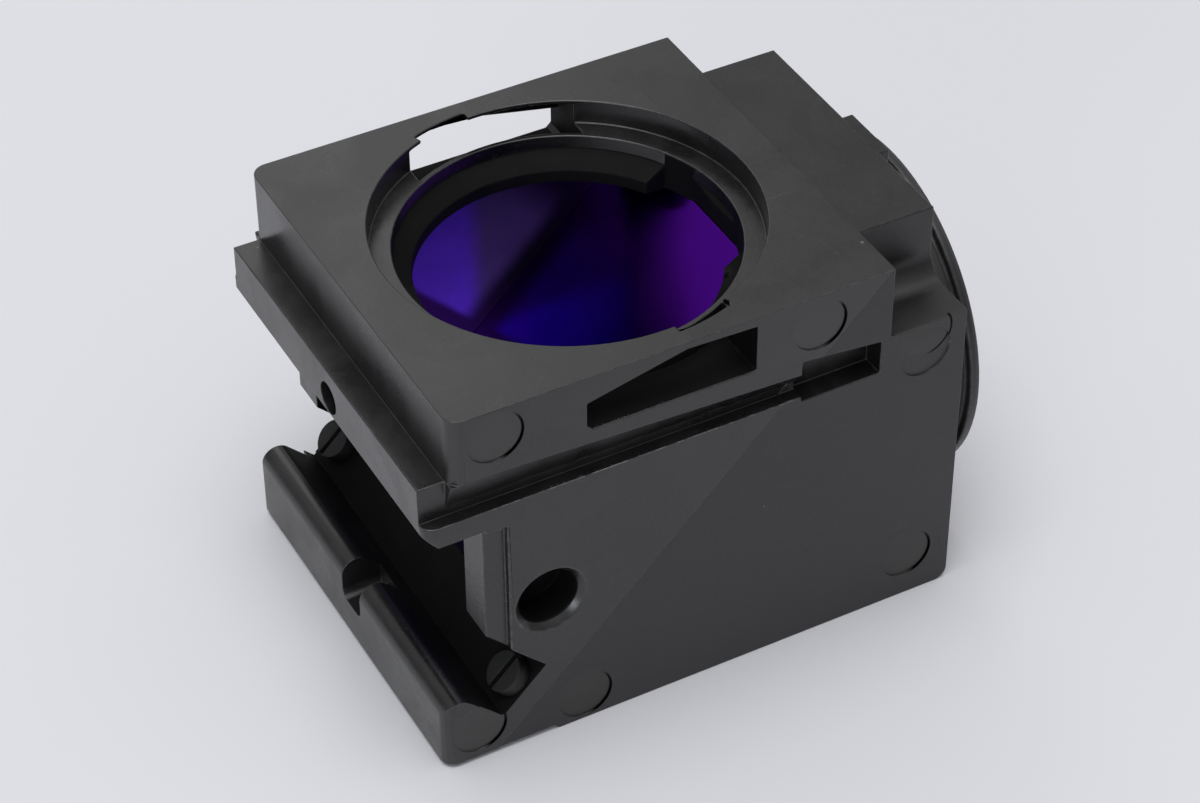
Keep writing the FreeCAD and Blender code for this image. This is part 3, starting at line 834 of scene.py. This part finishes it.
@dataclass(frozen=True)
class CrumbRow:
    """Row of tiny torn flecks of the moulding along a line."""

    name: str
    first: Place
    last: Place
    count: int
    size: float
    spread: float
    seed: int
    least_shape: Place = (0.4, 0.15, 0.3)
    greatest_shape: Place = (1.6, 0.6, 1.0)
    greatest_turn: Place = (3.0, 3.0, 3.0)

    def build(self, material: bpy.types.Material) -> bpy.types.Object:
        """Builds the row.

        Args:
            material: its finish.

        Returns:
            The piece.
        """
        piece = PatternPiece(self.name, Slot.SHELL, {
            "First": in_metres(self.first), "Last": in_metres(self.last), "Count": self.count,
            "Size": self.size * MM, "Spread": self.spread * MM, "Seed": self.seed, "Material": material})
        tree, given = piece.tree, piece.given
        shift = piece.random((-1.0, -1.0, -1.0), (1.0, 1.0, 1.0), given["Seed"])
        scaled = tree.add("ShaderNodeVectorMath", {0: shift, "Scale": given["Spread"]}, operation="SCALE")
        points = tree.add("GeometryNodeSetPosition", {"Geometry": piece.line(), "Offset": scaled.outputs[0]})
        crumb = tree.add("GeometryNodeMeshIcoSphere", {"Radius": given["Size"], "Subdivisions": 1})
        return piece.finish({
            "Points": points.outputs[0], "Instance": crumb.outputs[0],
            "Rotation": piece.random((0.0, 0.0, 0.0), self.greatest_turn, self.seed + 1),
            "Scale": piece.random(self.least_shape, self.greatest_shape, self.seed + 2)})


@dataclass(frozen=True)
class RidgeRow:
    """Row of thin round ridges along an axis: a thread's crests or the turned steps of a ring."""

    name: str
    slot: Slot
    first: Place
    last: Place
    turn: Place
    count: int
    radius: float
    thickness: float
    steps: int
    section_steps: int = 6

    def build(self, material: bpy.types.Material) -> bpy.types.Object:
        """Builds the ridges.

        Args:
            material: their finish.

        Returns:
            The piece.
        """
        piece = PatternPiece(self.name, self.slot, {
            "First": in_metres(self.first), "Last": in_metres(self.last),
            "Turn": tuple(math.radians(part) for part in self.turn), "Count": self.count,
            "Radius": self.radius * MM, "Thickness": self.thickness * MM, "Steps": self.steps,
            "Material": material})
        tree, given = piece.tree, piece.given
        path = tree.add("GeometryNodeCurvePrimitiveCircle", {"Resolution": given["Steps"],
                                                             "Radius": given["Radius"]})
        section = tree.add("GeometryNodeCurvePrimitiveCircle", {"Resolution": self.section_steps,
                                                                "Radius": given["Thickness"]})
        ridge = tree.add("GeometryNodeCurveToMesh", {"Curve": path.outputs[0],
                                                     "Profile Curve": section.outputs[0]})
        return piece.finish({"Points": piece.line(), "Instance": ridge.outputs[0],
                             "Rotation": given["Turn"]})


@dataclass
class TornEdges:
    """Flecks and burrs that wear has left on the moulding's edges."""

    rows: tuple[CrumbRow, ...] = (
        CrumbRow("burr_upper", (-14.1, -15.04, 21.2), (-13.6, -15.02, 20.6), 14, 0.055, 0.07, 3),
        CrumbRow("burr_lower", (-13.4, -15.04, 20.3), (-12.95, -15.10, 20.0), 12, 0.05, 0.06, 7),
        CrumbRow("lip_flecks", (-11.1, -15.36, 22.49), (-1.8, -15.36, 22.46), 70, 0.035, 0.05, 11),
        CrumbRow("slot_flecks", (-6.3, -15.36, 26.30), (-0.6, -15.36, 26.30), 26, 0.03, 0.05, 17),
        CrumbRow("corner_chips", (16.4, -14.4, 30.70), (16.45, -15.38, 30.62), 12, 0.06, 0.05, 23),
    )
    finish: MouldedBlack = MouldedBlack("torn_plastic", (0.10, 0.10, 0.10), (0.30, 0.30, 0.31),
                                        rough_low=0.4, rough_high=0.6)

    def build(self) -> list[bpy.types.Object]:
        """Builds the flecks.

        Returns:
            The pieces.
        """
        material = self.finish.material()
        return [row.build(material) for row in self.rows]


@dataclass
class MouldedShells:
    """The two half shells."""

    lip_height: float = 22.5
    lip_near: float = 0.35
    seam_near: float = 0.15
    edge_near: float = 0.3
    skin: float = 0.1
    channel_low: float = -17.5
    channel_high: float = -12.6
    channel_floor: float = 0.5
    channel_top: float = 7.8
    trap_left: float = -12.7
    trap_right: float = -11.0
    trap_low: float = 9.0
    wall_inside: float = 12.0
    roof: float = 25.85
    ledge_low: float = 25.55
    ledge_reach: float = 12.45
    collar_reach: float = 12.7
    ledge_top: float = 27.95
    bore_reach: float = 13.7
    slot_low: float = 26.0
    slot_high: float = 30.65
    slot_reach: float = 7.2
    undercut_top: float = 28.75
    undercut_reach: float = 13.5
    undercut_side: float = 8.0
    hole_x: float = -9.7
    hole_z: float = 12.5
    hole_radius: float = 2.25
    hole_mouth: float = -15.1
    corner_left: float = -15.2
    step_left: float = -11.5
    step_top: float = 22.0
    rim_reach: float = 14.6
    upper_finish: MouldedBlack = MouldedBlack(
        "moulded_black_upper", marks=((-13.5, 28.6), (-15.4, 2.9), (10.7, 28.3)), nick=(4.85, -13.05, 30.8))
    lower_finish: MouldedBlack = MouldedBlack(
        "moulded_black_lower", rough_low=0.34, rough_high=0.46, specular=0.60,
        marks=((-7.2, 2.3), (18.9, 3.9), (19.3, 24.2)))
    # Painted shade: a darker, matt copy of the moulding for the deep recesses.
    recess_shade_finish: MouldedBlack = MouldedBlack(
        "recess_painted_shade", dark=(0.0018, 0.0018, 0.002), light=(0.004, 0.004, 0.0042),
        rubbed_and_highlight=(0.03, 0.03, 0.03), dust=(0.06, 0.06, 0.06), rough_low=0.62, rough_high=0.78, specular=0.15)
    # Base colour painted with the light that the beam splitter throws on the far wall.
    wall_light_finish: PaintedSplitterLightWall = PaintedSplitterLightWall()

    def rules(self) -> list[EdgeRule]:
        """Rounding, and rubbed wear with painted highlight, of the shells' edges.

        Returns:
            The rules, first match first.
        """
        return [
            EdgeRule(self.is_on_seam, 0.05, 0.10),
            EdgeRule(self.is_on_lip, 0.10, 0.85),
            EdgeRule(lambda p: self.is_on_top(p) and math.hypot(p.x, p.y) < self.rim_reach, 0.10, 0.10),
            # The plate's left top edge gets neither rubbed wear nor painted highlight.
            EdgeRule(lambda p: self.is_on_top(p) and p.x < self.corner_left, 0.20, 0.0),
            EdgeRule(self.is_on_top, 0.16, 0.22),
            EdgeRule(self.is_on_step, 0.14, 0.30),
        ]

    def is_on_seam(self, place: Vector) -> bool:
        """Tells whether a place in millimetres is on the seam between the shells."""
        return abs(place.z - place.x - SEAM_HEIGHT / MM) < self.seam_near

    def is_on_top(self, place: Vector) -> bool:
        """Tells whether a place in millimetres is at the height of the plate's top."""
        return abs(place.z - PLATE_TOP / MM) < self.edge_near

    def is_on_lip(self, place: Vector) -> bool:
        """Tells whether a place in millimetres is on the outer edge of a rail groove's lip."""
        outside = abs(place.y) > HALF_DEPTH / MM - self.lip_near
        return outside and abs(place.z - self.lip_height) < self.lip_near

    def is_on_step(self, place: Vector) -> bool:
        """Tells whether a place in millimetres is on the side edges of the left end."""
        outside = abs(place.y) > HALF_DEPTH / MM - self.edge_near
        return outside and place.z < self.step_top and place.x < self.step_left

    def build(self) -> list[bpy.types.Object]:
        """Builds both shells.

        Returns:
            The pieces.
        """
        # The far wall gets the painted splitter light, and the deep recesses get the painted shade.
        zones = [Zone(self.is_far_wall, self.wall_light_finish.material()),
                 Zone(self.is_recess, self.recess_shade_finish.material())]
        return [SoftenedNode(node, name, Slot.SHELL, finish.material(), self.rules(), zones=zones).build()
                for node, name, finish in (("upper_shell", "upper_moulding", self.upper_finish),
                                           ("lower_shell", "lower_moulding", self.lower_finish))]

    def is_far_wall(self, place: Vector, normal: Vector) -> bool:
        """Tells whether a face, by its centre in millimetres and its normal, is inside the far wall."""
        on_wall = abs(place.y - self.wall_inside) < self.skin and place.z < self.roof
        return on_wall and normal.y < -0.9

    def is_recess(self, place: Vector, normal: Vector) -> bool:
        """Tells whether a face, by its centre in millimetres and its normal, is in a deep recess, which gets
        a darker, matt finish as painted shade.
        """
        return (self.is_in_trap(place) or self.is_in_bore(place, normal) or self.is_in_slot(place)
                or self.is_in_hole(place))

    def is_in_trap(self, place: Vector) -> bool:
        """Tells whether a place is in the screw channel or the light trap beside it.

        Args:
            place: the place, in millimetres.

        Returns:
            True in the trap.
        """
        along = (place.x + place.z - SEAM_HEIGHT / MM) * HALF_ROOT
        above = (place.z - place.x - SEAM_HEIGHT / MM) * HALF_ROOT
        channel = (self.channel_low < along < self.channel_high
                   and self.channel_floor < above < self.channel_top)
        trap = (self.trap_left < place.x < self.trap_right and self.trap_low < place.z < self.roof
                and abs(place.y) < self.wall_inside - self.skin)
        return channel or trap

    def is_in_bore(self, place: Vector, normal: Vector) -> bool:
        """Tells whether a face is on the lower ledge, on its outer collar or under the upper ledge.

        Args:
            place: centre of the face, in millimetres.
            normal: the face's normal.

        Returns:
            True in the bore's depth.
        """
        reach = math.hypot(place.x, place.y)
        ledge = reach < self.ledge_reach and self.ledge_low < place.z < self.ledge_top
        outward = place.x * normal.x + place.y * normal.y > 0.5 * reach
        collar = (outward and reach < self.collar_reach
                  and self.roof < place.z < self.undercut_top + self.skin)
        undercut = (self.ledge_reach < reach < self.undercut_reach
                    and self.roof < place.z < self.undercut_top and abs(place.y) > self.undercut_side)
        return ledge or collar or undercut

    def is_in_slot(self, place: Vector) -> bool:
        """Tells whether a place in millimetres is inside a bayonet slot."""
        through = math.hypot(place.x, place.y) > self.bore_reach and abs(place.x) < self.slot_reach
        return (through and self.wall_inside < abs(place.y) < HALF_DEPTH / MM - self.skin
                and self.slot_low < place.z < self.slot_high)

    def is_in_hole(self, place: Vector) -> bool:
        """Tells whether a place in millimetres is inside the blind hole of the near wall."""
        inside = math.hypot(place.x - self.hole_x, place.z - self.hole_z) < self.hole_radius
        return inside and self.hole_mouth < place.y < -self.wall_inside


@dataclass
class Optics:
    """Beam splitter and excitation filter with its rings."""

    splitter_finish: CoatedGlass = CoatedGlass("splitter_coating", (0.120, 0.005, 0.50),
                                               (0.130, 0.007, 0.44), roughness=0.14)
    disc_finish: CoatedGlass = CoatedGlass("filter_coating", (0.05, 0.03, 0.30), (0.03, 0.04, 0.26),
                                           roughness=0.03)
    ring_finish: TurnedMetal = TurnedMetal("anodised_black", (0.018, 0.018, 0.019), (0.20, 0.20, 0.21),
                                           roughness=0.36, metallic=0.0)
    steps: RidgeRow = RidgeRow(
        "retainer_steps", Slot.RING, (23.3, 0.0, 14.3), (25.6, 0.0, 14.3), (0.0, 90.0, 0.0), count=7,
        radius=11.24, thickness=0.10, steps=96)

    def build(self) -> list[bpy.types.Object]:
        """Builds the optics.

        Returns:
            The pieces.
        """
        splitter = self.splitter_finish.material()
        disc = self.disc_finish.material()
        ring = self.ring_finish.material()
        made = [self.steps.build(ring)]
        for node, name, slot, material, width, wear_and_highlight in (
                ("beam_splitter", "splitter_plate", Slot.SPLITTER, splitter, 0.12, 0.0),
                ("excitation_filter_glass", "filter_disc", Slot.FILTER, disc, 0.15, 0.0),
                ("excitation_filter_ring", "filter_ring", Slot.RING, ring, 0.1, 0.2),
                ("excitation_retaining_ring", "retaining_ring", Slot.RING, ring, 0.18, 0.25)):
            made.append(SoftenedNode(node, name, slot, material, [], width, wear_and_highlight).build())
        return made


@dataclass
class SmallSteel:
    """Clamp screws, locating pins and the edge spring, dressed in steel."""

    screw_along: float = -15.05
    screw_y: float = 13.8
    thread_low: float = -2.3
    thread_high: float = 0.9
    edge_width: float = 0.08
    edge_wear_and_highlight: float = 0.3
    black_finish: TurnedMetal = TurnedMetal("blackened_steel", (0.003, 0.003, 0.003), (0.02, 0.02, 0.02),
                                            roughness=0.60, metallic=0.0)
    bright_finish: TurnedMetal = TurnedMetal("bright_steel", (0.52, 0.52, 0.53), (0.7, 0.7, 0.7),
                                             roughness=0.26, metallic=1.0)

    def seam_place(self, above: float, y: float) -> Place:
        """Place on a clamp screw's axis, in millimetres, by its height over the seam and across the depth."""
        return ((self.screw_along - above) * HALF_ROOT, y,
                SEAM_HEIGHT / MM + (self.screw_along + above) * HALF_ROOT)

    def thread(self, side: str, y: float) -> RidgeRow:
        """Crests of the near or far clamp screw's thread, by its place across the depth."""
        ends = self.seam_place(self.thread_low, y), self.seam_place(self.thread_high, y)
        return RidgeRow(f"screw_thread_{side}", Slot.SCREW, *ends, (0.0, -45.0, 0.0), count=9,
                        radius=0.80, thickness=0.05, steps=32)

    def build(self) -> list[bpy.types.Object]:
        """Dresses the small parts.

        Returns:
            The pieces.
        """
        black = self.black_finish.material()
        bright = self.bright_finish.material()
        made = [self.thread(side, y).build(black)
                for side, y in (("near", -self.screw_y), ("far", self.screw_y))]
        for node, name, slot, material in (("clamp_screw", "cheese_screw", Slot.SCREW, black),
                                           ("locating_pin", "dowel_pin", Slot.SPRING, bright)):
            for side in ("near", "far"):
                made.append(SoftenedNode(f"{node}_{side}", f"{name}_{side}", slot, material, [],
                                         self.edge_width, self.edge_wear_and_highlight).build())
        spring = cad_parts["splitter_edge_spring"]
        spring.data.materials.clear()
        spring.data.materials.append(bright)
        made.append(spring)
        return made


@dataclass(frozen=True)
class Lamp:
    """Soft rectangular lamp that looks at the part, with its place and size in metres."""

    name: str
    place: Place
    size: tuple[float, float]
    watts: float
    colour: Colour = (1.0, 1.0, 1.0)
    target: Place = (0.0, 0.0, 0.015)

    def build(self) -> None:
        """Adds the lamp."""
        light = bpy.data.lights.new(self.name, "AREA")
        light.shape = "RECTANGLE"
        light.size, light.size_y = self.size
        light.energy = self.watts
        light.color = self.colour
        turn = (Vector(self.target) - Vector(self.place)).to_track_quat("-Z", "Y")
        lamp = put(self.name, light)
        lamp.matrix_world = Matrix.Translation(Vector(self.place)) @ turn.to_matrix().to_4x4()


@dataclass
class Studio:
    """Pale floor, soft lights and the camera."""

    camera_place: Place = (-83.918, -161.202, 169.859)
    camera_turn: Place = (49.4506, 0.3066, -28.4345)
    lens: float = 101.213
    floor_size: float = 3.0
    floor_drop: float = 0.00002
    floor_colour: Colour = (0.70, 0.70, 0.735)
    floor_cloud: float = 14.0
    floor_roughness: float = 0.6
    horizon: float = 0.22
    zenith: float = 0.55
    air: Colour = (0.97, 0.98, 1.0)
    lamps: tuple[Lamp, ...] = (
        Lamp("overhead", (-0.15, -0.12, 1.40), (1.0, 1.0), 12.5),
        Lamp("far_panel", (0.22, 0.95, 0.80), (0.5, 0.6), 0.9),
        Lamp("left_window", (-0.62, -0.56, 0.18), (0.35, 0.25), 1.6, (0.9, 0.94, 1.0)),
    )

    def floor(self) -> None:
        """Builds the floor."""
        mesh = bpy.data.meshes.new("floor")
        size = self.floor_size
        mesh.from_pydata([(-size, -size, 0), (size, -size, 0), (size, size, 0), (-size, size, 0)], [],
                         [(0, 1, 2, 3)])
        floor = put("floor", mesh)
        floor.location.z = -self.floor_drop
        material, tree, shader = new_material("pale_floor")
        cloud = tree.noise(tree.place(), self.floor_cloud)
        darker = tuple(0.97 * part for part in self.floor_colour)
        tree.fill(shader, {"Base Color": tree.blend(cloud, self.floor_colour, darker),
                           "Roughness": self.floor_roughness})
        mesh.materials.append(material)

    def world(self) -> None:
        """Fills the room with a soft pale light."""
        world = bpy.data.worlds.new("room")
        world.use_nodes = True
        tree = Tree(world.node_tree)
        world.node_tree.nodes.clear()
        height = tree.parts(tree.add("ShaderNodeTexCoord").outputs["Generated"])[2]
        strength = tree.ramp(height, 0.05, 0.85, self.horizon, self.zenith)
        glow = tree.add("ShaderNodeBackground", {"Color": self.air, "Strength": strength})
        tree.add("ShaderNodeOutputWorld", {"Surface": glow.outputs[0]})
        bpy.context.scene.world = world

    def camera(self) -> None:
        """Places the camera where the photograph was taken from."""
        data = bpy.data.cameras.new("camera")
        data.lens = self.lens
        data.sensor_width = 36.0
        data.sensor_fit = "HORIZONTAL"
        data.clip_start = 0.01
        camera = put("camera", data)
        camera.location = Vector(self.camera_place) * MM
        camera.rotation_euler = [math.radians(angle) for angle in self.camera_turn]
        bpy.context.scene.camera = camera

    def build(self) -> None:
        """Sets up the room."""
        self.floor()
        self.world()
        for lamp in self.lamps:
            lamp.build()
        self.camera()
        bpy.context.scene.view_settings.view_transform = "Standard"


def report(pieces: Iterable[bpy.types.Object]) -> None:
    """Logs each piece with its face count.

    Args:
        pieces: the built pieces.
    """
    for piece in pieces:
        LOG.info("%s: %d faces", piece.name, len(piece.data.polygons))


def main() -> None:
    """Dresses the filter cube and sets up its room."""
    logging.basicConfig(level=logging.INFO, format="%(name)s %(message)s")
    for part in (MouldedShells(), TornEdges(), Optics(), SmallSteel()):
        report(part.build())
    Studio().build()


if __name__ == "__main__":
    main()
